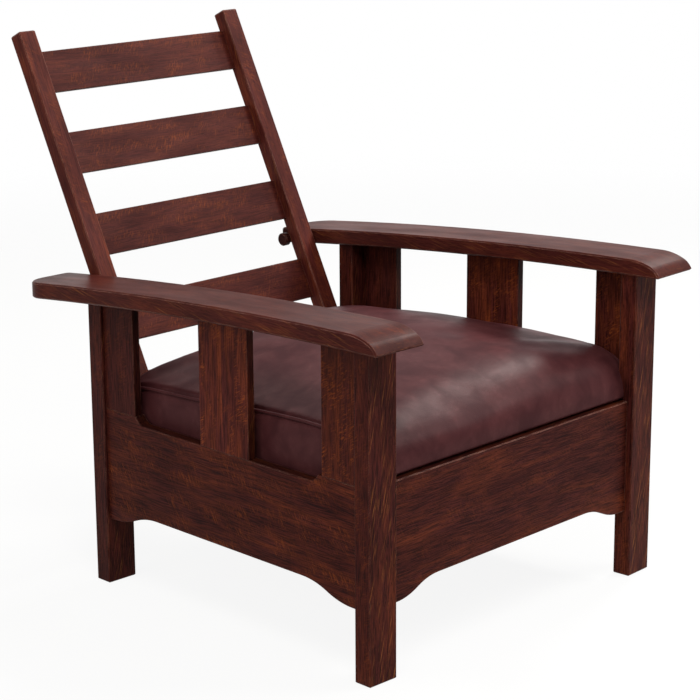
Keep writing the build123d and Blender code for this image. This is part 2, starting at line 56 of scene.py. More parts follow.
# adds one node; keys are input names, input numbers or the node's own settings, and a value that is a
# socket, or a node for its first output in use, is linked
def addNode(tree, kind, values=None):
    node = tree.nodes.new("ShaderNode" + kind)
    for key, value in (values or {}).items():
        if isinstance(value, bpy.types.Node):
            value = next(socket for socket in value.outputs if socket.enabled)
        if isinstance(value, bpy.types.NodeSocket):
            tree.links.new(value, node.inputs[key])
        elif isinstance(key, int) or key in node.inputs:
            node.inputs[key].default_value = value
        else:
            setattr(node, key, value)
    return node


# noise with spots of a real size in mm along each axis of its source; where edges are given it is a mask,
# which rises from least to 1 between them
def spots(
    tree, source, size, detail=2.0, distortion=0.0, roughness=0.5, slant=(0, 0, 0), edges=None, least=0.0,
):
    slanted = [math.radians(angle) for angle in slant]
    turned = addNode(tree, "Mapping", {"Rotation": slanted, "Vector": source})
    sized = addNode(tree, "Mapping", {"Scale": [1 / length for length in size], "Vector": turned})
    pattern = addNode(tree, "TexNoise", {
        "Scale": 1.0, "Detail": detail, "Roughness": roughness, "Distortion": distortion, "Vector": sized,
    })
    if edges is None:
        return pattern
    low, high = edges
    return addNode(tree, "MapRange", {"Value": pattern, "From Min": low, "From Max": high, "To Min": least})


# lays a colour over what is there, as strongly as all the masks and strengths together say
def coat(tree, under, over, *masks):
    amount = masks[0]
    for mask in masks[1:]:
        amount = addNode(tree, "Math", {"operation": "MULTIPLY", 0: amount, 1: mask})
    return addNode(tree, "Mix", {"data_type": "RGBA", 0: amount, 6: under, 7: hexToLinear(over)})


def newMaterial(name):
    material = bpy.data.materials.new(name)
    material.use_nodes = True
    tree = material.node_tree
    tree.nodes.clear()
    return material, tree


def dress(piece, material):
    piece.data.materials.clear()
    piece.data.materials.append(material)


def newPiece(name, mesh, material, body):
    piece = bpy.data.objects.new(name, mesh)
    bpy.context.scene.collection.objects.link(piece)
    dress(piece, material)
    for face in piece.data.polygons:
        face.use_smooth = True
    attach(piece, body)
    return piece


# the mesh that an object shows once its modifiers have run
def bakedMesh(holder):
    graph = bpy.context.evaluated_depsgraph_get()
    graph.update()
    return bpy.data.meshes.new_from_object(holder.evaluated_get(graph), depsgraph=graph)


# a closed smooth curve through these points
def closedCurve(name, points, resolution):
    curve = bpy.data.curves.new(name, "CURVE")
    curve.dimensions = "3D"
    spline = curve.splines.new("NURBS")
    spline.points.add(len(points) - 1)
    for slot, point in zip(spline.points, points):
        slot.co = (*point, 1)
    spline.use_cyclic_u = True
    spline.order_u = 3
    spline.resolution_u = resolution
    return curve


def curveMesh(curve):
    holder = bpy.data.objects.new(curve.name, curve)
    bpy.context.scene.collection.objects.link(holder)
    mesh = bakedMesh(holder)
    bpy.data.objects.remove(holder)
    return mesh


cameraView = {
    "place": (-2.6571, -2.60059, 1.37533),
    "yaw": 46.393,     # degrees, from looking along +Y towards +X
    "pitch": -14.758,
    "roll": -0.324,
    "lens": 110.993,    # mm, on a 36 mm sensor
    "sensor": 36.0,
    "clipStart": 0.1,
    "clipEnd": 60.0,
}


def standCamera(view):
    data = bpy.data.cameras.new("studioCamera")
    data.lens = view["lens"]
    data.sensor_width = view["sensor"]
    data.clip_start = view["clipStart"]
    data.clip_end = view["clipEnd"]
    camera = bpy.data.objects.new("studioCamera", data)
    yaw, pitch, roll = (math.radians(view[k]) for k in ("yaw", "pitch", "roll"))
    ahead = Vector((math.sin(yaw) * math.cos(pitch), math.cos(yaw) * math.cos(pitch), math.sin(pitch)))
    right = Vector((math.cos(yaw), -math.sin(yaw), 0))
    up = right.cross(ahead)
    turnedRight = right * math.cos(roll) + up * math.sin(roll)
    turnedUp = up * math.cos(roll) - right * math.sin(roll)
    turn = Matrix((turnedRight, turnedUp, -ahead)).transposed()
    camera.matrix_world = Matrix.Translation(view["place"]) @ turn.to_4x4()
    bpy.context.scene.collection.objects.link(camera)
    bpy.context.scene.camera = camera


standCamera(cameraView)
bpy.context.scene.view_settings.view_transform = "Standard"
print("camera set")


studio = {
    "floorSize": 14.0,
    "floorWhite": "FBFBFA",
    "floorBounce": "D0CECA",  # what the floor sends back onto the chair's lower parts
    "floorGlow": 0.90,       # how much of the floor's white the camera sees as plain white
    "fadeStart": 2.2,        # metres from the middle where the floor melts into the surround
    "fadeEnd": 4.5,
    "surroundFill": 0.18,
    "surroundTint": "F4F6FA",
    "lamps": (
        # name, place, aim, width, height, watts, colour
        ("windowLamp", (2.35, 0.1, 2.6), (0, -0.1, 0.4), 0.6, 0.45, 58, "FFFDF8"),
        ("keyLamp", (2.0, -2.0, 2.6), (0, 0, 0.4), 1.6, 1.3, 68, "FFFDF8"),
        ("topLamp", (-1.4, -1.3, 2.9), (0, 0.1, 0.5), 1.2, 1.0, 51, "FFFCF6"),
        ("fillLamp", (-3.0, 0.3, 1.6), (0, 0, 0.4), 2.0, 1.6, 18, "FFFAF2"),
        ("backLamp", (1.0, 2.7, 2.2), (0, 0, 0.4), 1.8, 1.3, 9, "FFFCF6"),
    ),
}
plainWhite = (1, 1, 1, 1)


# 1 where the camera, a gloss or a clear piece looks at it, and 0 where it only lights the chair
def lookedAt(tree):
    path = addNode(tree, "LightPath")
    seen = path.outputs["Is Camera Ray"]
    for ray in ("Is Glossy Ray", "Is Transmission Ray"):
        seen = addNode(tree, "Math", {"operation": "MAXIMUM", 0: seen, 1: path.outputs[ray]})
    return seen


def buildSurround(values):
    world = bpy.data.worlds.new("whiteSurround")
    bpy.context.scene.world = world
    world.use_nodes = True
    tree = world.node_tree
    tree.nodes.clear()
    seen = lookedAt(tree)
    white = addNode(tree, "Background", {"Color": plainWhite, "Strength": 1.0})
    tint = hexToLinear(values["surroundTint"])
    fill = addNode(tree, "Background", {"Color": tint, "Strength": values["surroundFill"]})
    mix = addNode(tree, "MixShader", {0: seen, 1: fill, 2: white})
    addNode(tree, "OutputWorld", {0: mix})


# Matt white background paper: to the eye no gloss at all, and only the chair's soft shadow shows on it.
def paperMaterial(name, values):
    material, tree = newMaterial(name)
    seen = lookedAt(tree)
    paper = addNode(tree, "BsdfDiffuse", {"Color": hexToLinear(values["floorWhite"])})
    bounce = addNode(tree, "BsdfDiffuse", {"Color": hexToLinear(values["floorBounce"])})
    glow = addNode(tree, "Emission", {"Color": plainWhite, "Strength": 1.0})
    lit = addNode(tree, "MixShader", {0: values["floorGlow"], 1: paper, 2: glow})
    mix = addNode(tree, "MixShader", {0: seen, 1: bounce, 2: lit})
    place = addNode(tree, "TexCoord")
    reach = addNode(tree, "VectorMath", {"operation": "LENGTH", 0: place.outputs["Object"]})
    fade = addNode(tree, "MapRange", {
        "interpolation_type": "SMOOTHSTEP", "Value": reach,
        "From Min": values["fadeStart"], "From Max": values["fadeEnd"],
    })
    clear = addNode(tree, "BsdfTransparent")
    edge = addNode(tree, "MixShader", {0: fade, 1: mix, 2: clear})
    addNode(tree, "OutputMaterial", {0: edge})
    return material


def layFloor(values):
    mesh = bpy.data.meshes.new("studioFloor")
    half = values["floorSize"] / 2
    corners = [(-half, -half, 0), (half, -half, 0), (half, half, 0), (-half, half, 0)]
    mesh.from_pydata(corners, [], [(0, 1, 2, 3)])
    mesh.materials.append(paperMaterial("matteStudioPaper", values))
    floor = bpy.data.objects.new("studioFloor", mesh)
    bpy.context.scene.collection.objects.link(floor)


def hangLamps(values):
    for name, place, aim, width, height, watts, colour in values["lamps"]:
        lamp = bpy.data.lights.new(name, "AREA")
        lamp.shape = "RECTANGLE"
        lamp.size, lamp.size_y = width, height
        lamp.energy = watts
        lamp.color = hexToLinear(colour)[:3]
        holder = bpy.data.objects.new(name, lamp)
        holder.location = place
        holder.rotation_euler = (Vector(aim) - Vector(place)).to_track_quat("-Z", "Y").to_euler()
        bpy.context.scene.collection.objects.link(holder)


buildSurround(studio)
layFloor(studio)
hangLamps(studio)
print("studio lit")


# Quarter-sawn white oak, darkened with ammonia fumes, then shellacked and waxed. To the eye: a dark
# red-brown ground with close straight grain, warmer orange-brown bands, ray flecks that curl across the
# wide faces, long fine rays down the edge faces, dark pores, and a thin worn line on handled corners.
# On the slats and rails the edge faces are darkened further: painted shade, not the wood's colour.
oak = {
    "deep": "280D0D",
    "ground": "52231F",
    "warm": "7A391C",
    "fleck": "8A4420",
    "ray": "965A30",
    "pore": "140706",
    "worn": "A87A6C",
    # each pattern's size is in mm across the board, through it and along it, and its slant in degrees
    "wander": {"size": (50.0, 50.0, 150.0), "detail": 1.0, "roughness": 0.55},
    "drift": 12.0,            # mm that the grain wanders over its length
    "grain": {"size": (1.3, 1.3, 42.0), "distortion": 0.2, "roughness": 0.6},   # a little coarse, to show
    "grainEdges": (0.40, 0.60),
    "bands": {
        "size": (13.0, 26.0, 170.0), "detail": 4.0, "distortion": 0.3, "roughness": 0.62,
        "edges": (0.40, 0.68),
    },
    "clouds": {"size": (42.5, 42.5, 153.0), "roughness": 0.55},
    "flecks": {
        "size": (13.0, 24.0, 2.0), "distortion": 1.1, "roughness": 0.55, "slant": (0, 32, 0),
        "edges": (0.50, 0.64),
    },
    "fleckPatches": {"size": (24.0, 24.0, 60.0), "roughness": 0.55, "edges": (0.44, 0.66)},
    "rays": {
        "size": (30.0, 1.5, 60.0), "detail": 1.0, "distortion": 0.3, "roughness": 0.55, "slant": (13, 0, 0),
        "edges": (0.59, 0.68),
    },
    "rayPatches": {"size": (16.0, 16.0, 80.0), "roughness": 0.55, "edges": (0.38, 0.60)},
    "pores": {"size": (1.0, 1.0, 8.0), "detail": 1.0, "roughness": 0.55, "edges": (0.60, 0.72)},
    "poreStrength": 0.8,
    "warmClouds": (0.36, 0.66, 0.1),     # from and to on the clouds, and the least that stays
    "warmGrain": (0.36, 0.62, 0.35),
    "quarterEdges": (0.55, 0.85),        # how squarely a face must look to show flecks
    "cloudEdges": (0.3, 0.7),
    "cloudTones": (0.78, 1.20),
    "cloudGloss": (0.07, -0.06),         # added to the roughness at the two ends of the clouds
    "wearWidth": 2.0,                    # mm
    "cornerSamples": 6,
    "wearTurn": (0.985, 0.86),           # how far a corner turns away where wear starts and is full
    "wearPatches": {"size": (7.0, 7.0, 26.0), "roughness": 0.55, "edges": (0.36, 0.62), "least": 0.12},
    "bumpStrength": 0.35,
    "bumpDepth": 0.12,                   # mm
    "specular": 0.04,                    # low, as the white surround shows in any stronger gloss
    "shifts": ((137.0, 611), (71.0, 433), (211.0, 977)),     # mm, so that no two boards are alike
    # what one board has unless it says otherwise; an edges share below 1 darkens its edge faces as painted
    # shade
    "board": {
        "tone": 1.0, "grain": 1.0, "warmth": 0.5, "flecks": 0.5, "rays": 0.5, "wear": 0.5, "edges": 1.0,
        "roughness": 0.42,
    },
}

leanAngle = math.radians(25.925)
sideTurn = math.radians(2.037)     # each side of the chair runs in a little towards the rear
axisX, axisY, axisZ = Vector((1, 0, 0)), Vector((0, 1, 0)), Vector((0, 0, 1))


# grain runs along one axis of the board, and its wide quarter-sawn face looks along the other
def oakMaterial(name, grain, face, seed, board, values=oak):
    material, tree = newMaterial(name)
    place = addNode(tree, "TexCoord")
    flat = addNode(tree, "Mapping", {
        "Rotation": Matrix((face.cross(grain), face, grain)).to_euler(),
        "Location": [seed * step % span for step, span in values["shifts"]],
        "Scale": (1 / mm,) * 3,
        "Vector": place.outputs["Object"],
    })
    wander = spots(tree, flat, **values["wander"])
    strips = addNode(tree, "VectorMath", {
        "operation": "MULTIPLY_ADD", 0: wander.outputs["Color"], 1: (values["drift"], 0, 0), 2: flat,
    })
    grainLines = spots(tree, strips, **values["grain"])
    bands = spots(tree, strips, **values["bands"])
    clouds = spots(tree, flat, **values["clouds"])
    flecks = spots(tree, strips, **values["flecks"])
    fleckPatches = spots(tree, flat, **values["fleckPatches"])
    rays = spots(tree, flat, **values["rays"])
    rayPatches = spots(tree, flat, **values["rayPatches"])
    pores = spots(tree, strips, **values["pores"])

    # how squarely this spot looks along the quarter-sawn face
    facing = addNode(tree, "VectorMath", {"operation": "DOT_PRODUCT", 0: place.outputs["Normal"], 1: face})
    eitherWay = addNode(tree, "Math", {"operation": "ABSOLUTE", 0: facing})
    low, high = values["quarterEdges"]
    quarter = addNode(tree, "MapRange", {"Value": eitherWay, "From Min": low, "From Max": high})
    edgeFace = addNode(tree, "Math", {"operation": "SUBTRACT", 0: 1.0, 1: quarter})

    low, high = values["grainEdges"]
    light = addNode(tree, "MapRange", {
        "Value": grainLines, "From Min": low, "From Max": high, "To Min": 1 - board["grain"],
    })
    colour = coat(tree, hexToLinear(values["deep"]), values["ground"], light)
    low, high, least = values["warmClouds"]
    cloudy = addNode(tree, "MapRange", {"Value": clouds, "From Min": low, "From Max": high, "To Min": least})
    low, high, least = values["warmGrain"]
    lined = addNode(tree, "MapRange", {
        "Value": grainLines, "From Min": low, "From Max": high, "To Min": least,
    })
    colour = coat(tree, colour, values["warm"], bands, cloudy, lined, board["warmth"])
    colour = coat(tree, colour, values["fleck"], flecks, fleckPatches, quarter, board["flecks"])
    colour = coat(tree, colour, values["ray"], rays, rayPatches, edgeFace, board["rays"])
    colour = coat(tree, colour, values["pore"], pores, values["poreStrength"] * board["grain"])
    low, high = values["cloudEdges"]
    dark, bright = values["cloudTones"]
    cloudTone = addNode(tree, "MapRange", {
        "Value": clouds, "From Min": low, "From Max": high,
        "To Min": dark * board["tone"], "To Max": bright * board["tone"],
    })
    # painted shade: the edge faces are darkened by the board's edges share, standing in for the shade the
    # narrow faces of the slats and rails fall in
    paintedEdgeShade = addNode(tree, "MapRange", {"Value": edgeFace, "To Min": 1.0, "To Max": board["edges"]})
    tone = addNode(tree, "Math", {"operation": "MULTIPLY", 0: cloudTone, 1: paintedEdgeShade})
    colour = addNode(tree, "VectorMath", {"operation": "SCALE", 0: colour, 3: tone})

    # worn corners: where a rounded corner would turn away from the flat face
    softCorner = addNode(tree, "Bevel", {
        "samples": values["cornerSamples"], "Radius": values["wearWidth"] * mm,
    })
    level = addNode(tree, "NewGeometry")
    turned = addNode(tree, "VectorMath", {
        "operation": "DOT_PRODUCT", 0: softCorner, 1: level.outputs["Normal"],
    })
    starts, full = values["wearTurn"]
    corner = addNode(tree, "MapRange", {"Value": turned, "From Min": starts, "From Max": full})
    wearPatches = spots(tree, flat, **values["wearPatches"])
    colour = coat(tree, colour, values["worn"], corner, wearPatches, board["wear"])

    height = addNode(tree, "Math", {"operation": "SUBTRACT", 0: grainLines, 1: pores})
    bump = addNode(tree, "Bump", {
        "Strength": values["bumpStrength"], "Distance": values["bumpDepth"] * mm,
        "Height": height, "Normal": softCorner,
    })
    duller, glossier = values["cloudGloss"]
    roughness = addNode(tree, "MapRange", {
        "Value": clouds, "From Min": low, "From Max": high,
        "To Min": board["roughness"] + duller, "To Max": board["roughness"] + glossier,
    })
    surface = addNode(tree, "BsdfPrincipled", {
        "IOR": 1.5, "Specular IOR Level": values["specular"],
        "Base Color": colour, "Normal": bump, "Roughness": roughness,
    })
    addNode(tree, "OutputMaterial", {0: surface})
    return material


# directions on one side of the chair, or on its middle
def directions(side):
    inward = {"right": -sideTurn, "middle": 0.0, "left": sideTurn}[side]
    turn = Matrix.Rotation(inward, 3, "Z")
    return {
        "wide": axisX,
        "deep": axisY,
        "up": axisZ,
        "along": turn @ axisY,
        "across": turn @ axisX,
        "upBack": Vector((0, math.sin(leanAngle), math.cos(leanAngle))),
        "offBack": Vector((0, -math.cos(leanAngle), math.sin(leanAngle))),
    }


# each board: the way its grain runs, the way its wide face looks, and what is its own; an edges share below
# 1 is painted shade on its edge faces
sideBoards = {
    "front_post": ("up", "across", {"tone": 0.95, "flecks": 0.35, "rays": 0.8, "warmth": 0.5}),
    "rear_post": ("up", "across", {"tone": 0.85, "flecks": 0.25, "warmth": 0.3}),
    "side_rail": ("along", "across", {"tone": 0.84, "warmth": 0.7, "flecks": 0.7, "edges": 0.45}),
    "front_slat": ("up", "across", {"tone": 0.86, "warmth": 0.8, "flecks": 0.8, "edges": 0.4}),
    "middle_slat": ("up", "across", {"tone": 1.28, "warmth": 1.0, "flecks": 0.8, "edges": 0.4}),
    "rear_slat": ("up", "across", {"tone": 0.85, "warmth": 0.2, "flecks": 0.25, "edges": 0.4}),
    "arm": ("along", "up", {
        "tone": 0.85, "grain": 0.6, "warmth": 0.4, "flecks": 0.3, "wear": 1.3, "roughness": 0.38,
    }),
    "stile": ("upBack", "offBack", {"tone": 1.15, "grain": 0.6, "warmth": 0.6, "flecks": 0.4, "wear": 1.2}),
    "peg": ("wide", "up", {"tone": 0.5, "warmth": 0.1, "flecks": 0.1, "rays": 0.1, "wear": 0.9}),
}
middleBoards = {
    "front_rail": ("wide", "deep", {"tone": 0.95, "warmth": 0.75, "flecks": 0.2, "wear": 1.8, "edges": 0.6}),
    "rear_rail": ("wide", "deep", {"tone": 0.9, "flecks": 0.4}),
    "back_bottom_rail": ("wide", "offBack", {"tone": 0.9}),
}
backSlat = ("wide", "offBack", {"tone": 0.9, "grain": 0.55, "warmth": 0.3, "flecks": 0.55, "wear": 0.6})
middleBoards.update({f"back_slat_{number}": backSlat for number in range(1, 5)})

boards = {
    f"{side}_{name}": (side, *board) for side in ("right", "left") for name, board in sideBoards.items()
}
boards.update({name: ("middle", *board) for name, board in middleBoards.items()})
for seed, (name, (side, grain, face, own)) in enumerate(boards.items(), start=1):
    ways = directions(side)
    finish = oakMaterial(f"fumedOak_{name}", ways[grain], ways[face], seed, {**oak["board"], **own})
    dress(nodes[name], finish)
print("oak boards finished:", len(boards))


# Oxblood upholstery hide: drum-dyed leather, waxed by use. To the eye: a dark wine red with a broad satin
# sheen, soft mottling, a fine pebbled grain, long shallow creases across the seat and a paler rubbed crest.
leather = {
    "ground": "4E292B",
    "deep": "401F22",
    "rubbed": "5A3234",
    "roughness": 0.41,
    "specular": 0.05,         # low, as the white surround shows in any stronger gloss
    "mottle": {"size": (46.0, 46.0, 46.0), "detail": 4.0, "distortion": 0.4},
    "mottleTone": (0.34, 0.60),
    "mottleRubbed": (0.46, 0.70),
    "mottleGloss": (0.35, 0.65),
    "glossSpread": (0.04, -0.03),        # added to the roughness at the two ends of the mottling
    "smudge": {"size": (13.8, 13.8, 13.8), "detail": 3.0, "distortion": 0.2, "edges": (0.50, 0.72)},
    "creases": {"size": (70.0, 7.0, 22.0), "detail": 3.0, "distortion": 1.2, "slant": (0, 0, 9)},
    "creaseBump": (0.35, 0.22),          # strength, and depth in mm
    "fineCreases": {"size": (11.2, 2.45, 9.0), "distortion": 0.8, "slant": (0, 0, -14)},
    "fineBump": (0.35, 0.35),
    "pebbleSize": 2.4,        # mm; real pebbles are near 1 mm, drawn coarser so that they show
    "pebbleEdge": 0.25,
    "pebbleBump": (0.25, 0.20),
}


def leatherMaterial(name, values=leather):
    material, tree = newMaterial(name)
    place = addNode(tree, "TexCoord")
    flat = addNode(tree, "Mapping", {"Scale": (1 / mm,) * 3, "Vector": place.outputs["Object"]})
    mottle = spots(tree, flat, **values["mottle"])
    smudge = spots(tree, flat, **values["smudge"])
    creases = spots(tree, flat, **values["creases"])
    fineCreases = spots(tree, flat, **values["fineCreases"])
    spread = addNode(tree, "Mapping", {"Scale": (1 / values["pebbleSize"],) * 3, "Vector": flat})
    pebbles = addNode(tree, "TexVoronoi", {"feature": "DISTANCE_TO_EDGE", "Scale": 1.0, "Vector": spread})

    low, high = values["mottleTone"]
    light = addNode(tree, "MapRange", {"Value": mottle, "From Min": low, "From Max": high})
    low, high = values["mottleRubbed"]
    handled = addNode(tree, "MapRange", {"Value": mottle, "From Min": low, "From Max": high})
    colour = coat(tree, hexToLinear(values["deep"]), values["ground"], light)
    colour = coat(tree, colour, values["rubbed"], smudge, handled)

    strength, depth = values["creaseBump"]
    wide = addNode(tree, "Bump", {"Strength": strength, "Distance": depth * mm, "Height": creases})
    strength, depth = values["fineBump"]
    fine = addNode(tree, "Bump", {
        "Strength": strength, "Distance": depth * mm, "Height": fineCreases, "Normal": wide,
    })
    rounded = addNode(tree, "MapRange", {
        "Value": pebbles.outputs["Distance"], "From Min": 0.0, "From Max": values["pebbleEdge"],
    })
    strength, depth = values["pebbleBump"]
    grained = addNode(tree, "Bump", {
        "Strength": strength, "Distance": depth * mm, "Height": rounded, "Normal": fine,
    })
    low, high = values["mottleGloss"]
    duller, glossier = values["glossSpread"]
    roughness = addNode(tree, "MapRange", {
        "Value": mottle, "From Min": low, "From Max": high,
        "To Min": values["roughness"] + duller, "To Max": values["roughness"] + glossier,
    })
    surface = addNode(tree, "BsdfPrincipled", {
        "IOR": 1.5, "Specular IOR Level": values["specular"],
        "Base Color": colour, "Normal": grained, "Roughness": roughness,
    })
    addNode(tree, "OutputMaterial", {0: surface})
    return material


seatLeather = leatherMaterial("oxbloodHide")


cushion = {
    "voxel": 5.5 * mm,
    "weldReach": 0.02 * mm,
    "smoothing": 0.5,          # the strength of one smoothing pass
    "roundingPasses": 10,
    "startInset": 3.0 * mm,    # the pad starts this much smaller all round, then swells
    # the pad as it has settled in use: fuller on the far side, and rolled out over the front rail
    "farFrontRise": 14 * mm,
    "farMiddleRise": 8 * mm,   # on top of the two beside it
    "farRearRise": 23 * mm,
    "riseFrom": 55 * mm,       # above the pad's bottom
    "riseTo": 12 * mm,         # below its top
    "farShares": (-0.5, 0.6),  # of half the width: where the far side's rise starts and is full
    "rearReach": 520,          # mm behind the front where the rear rise is full
    "frontLap": 19 * mm,       # how far the front rolls out over the top of the front rail
    "lapHeights": (324.5, 327, 372, 416),     # mm above the floor: starts, full, easing, gone
    "lapEasing": 0.8,          # the share of the lap that is gone by the last height
    "lapDepths": (25, 105),    # mm behind the cushion's front
    # the stuffing's push on the cover
    "pressure": 3.0,
    "frames": 20,
    "quality": 5,
    "coverMass": 0.4,
    "stretchStiffness": 20,
    "bendStiffness": 10.0,     # thick hide takes broad curves, not small folds
    "mostMove": 24 * mm,
    "heldUpTo": 44 * mm,       # above its underside: the cover stays as it is up to here, between the rails
    "seamHeld": 4 * mm,        # beside a welt the cover is held this far, and freed over the next stretch
    "seamFreed": 16 * mm,
    "relaxPasses": 60,         # away from the seams, the cover pulls itself smooth
    "relaxDistances": (10 * mm, 45 * mm),
    # the welts, and the stitching that draws the cover in beside them
    "weltRadius": 2.5 * mm,
    "weltFacets": 2,           # how finely the cord is rounded, and its line is divided
    "weltDivisions": 2,
    "pathDivisions": 12,
    "weltProud": 0.5 * mm,
    "weltEvery": 3,            # one point in so many of the welt's line shapes the cord
    "weltShare": 0.95,         # of half the width: where the welt's line is taken to start from
    "probeStart": 50 * mm,     # outside the pad
    "probeDepth": 45 * mm,     # a ray that goes in deeper than this has missed the side
    "sideRound": 16 * mm,      # then the nearest spot to a line this far inside the side is taken
    "seamDepth": 3.4 * mm,     # how far stitching draws the cover in, and how wide that reaches
    "seamReach": 7.0 * mm,
    "seamsAbove": 8 * mm,
    "lumpHeight": 0.3 * mm,    # soft unevenness of the stuffing
    "lumpSize": 110 * mm,
    "lumpShape": (1.0, 2.0, 2),     # the fractal's falloff, its step between layers, and how many
    "lumpFade": 30 * mm,
    # the welt round each side panel, as mm behind the cushion's front and mm above the floor
    "weltPath": (
        (12, 291), (6, 306), (5, 330), (11, 356), (29, 377), (60, 388.5), (104, 391.6), (180, 389.4),
        (256, 385.7), (330, 380), (398, 373.9), (470, 370.8), (542, 368.6), (574, 363), (592, 348),
        (599, 326), (597, 304), (588, 291), (560, 286.5), (300, 286), (40, 286.5),
    ),
}


def eased(value, low, high):
    part = min(1.0, max(0.0, (value - low) / (high - low)))
    return part * part * (3 - 2 * part)


# where a spot of the pad comes to lie once it has settled in use
def settled(place, low, high, values):
    behind, height = (place.y - low.y) / mm, place.z / mm
    raised = eased(place.z, low.z + values["riseFrom"], high.z - values["riseTo"])
    far = eased(place.x / high.x, *values["farShares"])
    rear = eased(behind, 0, values["rearReach"])
    rise = values["farFrontRise"] + (values["farRearRise"] - values["farFrontRise"]) * rear
    rise += values["farMiddleRise"] * math.sin(math.pi * rear)
    starts, full, easing, gone = values["lapHeights"]
    lap = eased(height, starts, full) * (1 - values["lapEasing"] * eased(height, easing, gone))
    lap *= 1 - eased(behind, *values["lapDepths"])
    return place + Vector((0, -values["frontLap"] * lap, raised * (far * rise)))


def evened(line, passes=6):
    for _ in range(passes):
        line = [(line[i - 1] + 2 * line[i] + line[(i + 1) % len(line)]) / 4 for i in range(len(line))]
    return line


# the welt's line on both sides of the pad, found on its surface
def weltLines(tree, low, high, values):
    path = [(0, low.y + behind * mm, height * mm) for behind, height in values["weltPath"]]
    drawn = curveMesh(closedCurve("weltOutline", path, values["pathDivisions"]))
    lines = {}
    for side, sign in (("right", -1), ("left", 1)):
        line = []
        for vertex in drawn.vertices:
            start = Vector((sign * high.x * values["weltShare"], vertex.co.y, vertex.co.z))
            spot = settled(start, low, high, values)
            outside = Vector((sign * (high.x + values["probeStart"]), spot.y, spot.z))
            hit = tree.ray_cast(outside, Vector((-sign, 0, 0)))[0]
            if hit is None or abs(hit.x) < high.x - values["probeDepth"]:
                hit = tree.find_nearest(Vector((sign * (high.x - values["sideRound"]), spot.y, spot.z)))[0]
            line.append(hit + Vector((sign * values["weltProud"], 0, values["weltProud"])))
        lines[side] = evened(line)
    return lines


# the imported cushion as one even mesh, a little smaller and settled
def cushionBlank(low, high, values):
    blank = bpy.data.objects.new("cushionBlank", nodes["seat_cushion"].data.copy())
    bpy.context.scene.collection.objects.link(blank)
    welded = blank.modifiers.new("weld", "WELD")
    welded.merge_threshold = values["weldReach"]
    remesh = blank.modifiers.new("voxels", "REMESH")
    remesh.mode = "VOXEL"
    remesh.voxel_size = values["voxel"]
    even = blank.modifiers.new("rounding", "SMOOTH")
    even.factor = values["smoothing"]
    even.iterations = values["roundingPasses"]
    mesh = bakedMesh(blank)
    bpy.data.objects.remove(blank)
    mesh.update()
    normals = [vertex.normal.copy() for vertex in mesh.vertices]
    for vertex, normal in zip(mesh.vertices, normals):
        vertex.co = settled(vertex.co - normal * values["startInset"], low, high, values)
    return mesh


# blows the cover up round its stuffing, with its lower part and its seams held
def swellCover(pad, start, seams, low, values):
    mesh = pad.data
    held = pad.vertex_groups.new(name="held")
    loose = pad.vertex_groups.new(name="loose")
    for index, place in enumerate(start):
        near = seams.find(place)[2]
        hold = max(0.0, 1 - max(0.0, near - values["seamHeld"]) / values["seamFreed"])
        if place.z < low.z + values["startInset"] + values["heldUpTo"]:
            hold = 1.0
        if hold > 0:
            held.add([index], hold, "REPLACE")
        loose.add([index], (1 - hold) * eased(near, *values["relaxDistances"]), "REPLACE")
    cloth = pad.modifiers.new("stuffing", "CLOTH")
    cloth.settings.quality = values["quality"]
    cloth.settings.mass = values["coverMass"]
    cloth.settings.tension_stiffness = values["stretchStiffness"]
    cloth.settings.compression_stiffness = values["stretchStiffness"]
    cloth.settings.bending_stiffness = values["bendStiffness"]
    cloth.settings.use_pressure = True
    cloth.settings.uniform_pressure_force = values["pressure"]
    cloth.settings.vertex_group_mass = "held"
    cloth.settings.effector_weights.gravity = 0
    cloth.collision_settings.use_collision = False
    scene = bpy.context.scene
    scene.frame_start, scene.frame_end = 1, values["frames"]
    for step in range(1, values["frames"] + 1):
        scene.frame_set(step)
    swollen = [vertex.co.copy() for vertex in bakedMesh(pad).vertices]
    for vertex, place, was in zip(mesh.vertices, swollen, start):
        move = place - was
        if move.length > values["mostMove"]:
            move *= values["mostMove"] / move.length
        widest = abs(was.x) + values["startInset"]      # the arms' slats stop it swelling sideways
        move.x = min(max(was.x + move.x, -widest), widest) - was.x
        vertex.co = was + move
    pad.modifiers.clear()
    relaxed = pad.modifiers.new("relaxed", "SMOOTH")
    relaxed.factor = values["smoothing"]
    relaxed.iterations = values["relaxPasses"]
    relaxed.vertex_group = "loose"
    for vertex, place in zip(mesh.vertices, [v.co.copy() for v in bakedMesh(pad).vertices]):
        vertex.co = place
    pad.modifiers.clear()
    scene.frame_set(1)
    moves = [(vertex.co - was).length for vertex, was in zip(mesh.vertices, start)]
    print("cushion swelled, most", round(max(moves) / mm, 1), "mm")


# soft lumps in the stuffing, and the cover drawn in by the stitching beside the welts
def stitchCover(mesh, seams, low, values):
    mesh.update()
    normals = [vertex.normal.copy() for vertex in mesh.vertices]
    for vertex, normal in zip(mesh.vertices, normals):
        near = seams.find(vertex.co)[2]
        lump = noise.fractal(vertex.co / values["lumpSize"], *values["lumpShape"]) * values["lumpHeight"]
        drawn = values["seamDepth"] * math.exp(-(near / values["seamReach"]) ** 2)
        if vertex.co.z > low.z + values["seamsAbove"]:
            vertex.co += normal * (lump * min(1.0, near / values["lumpFade"]) - drawn)


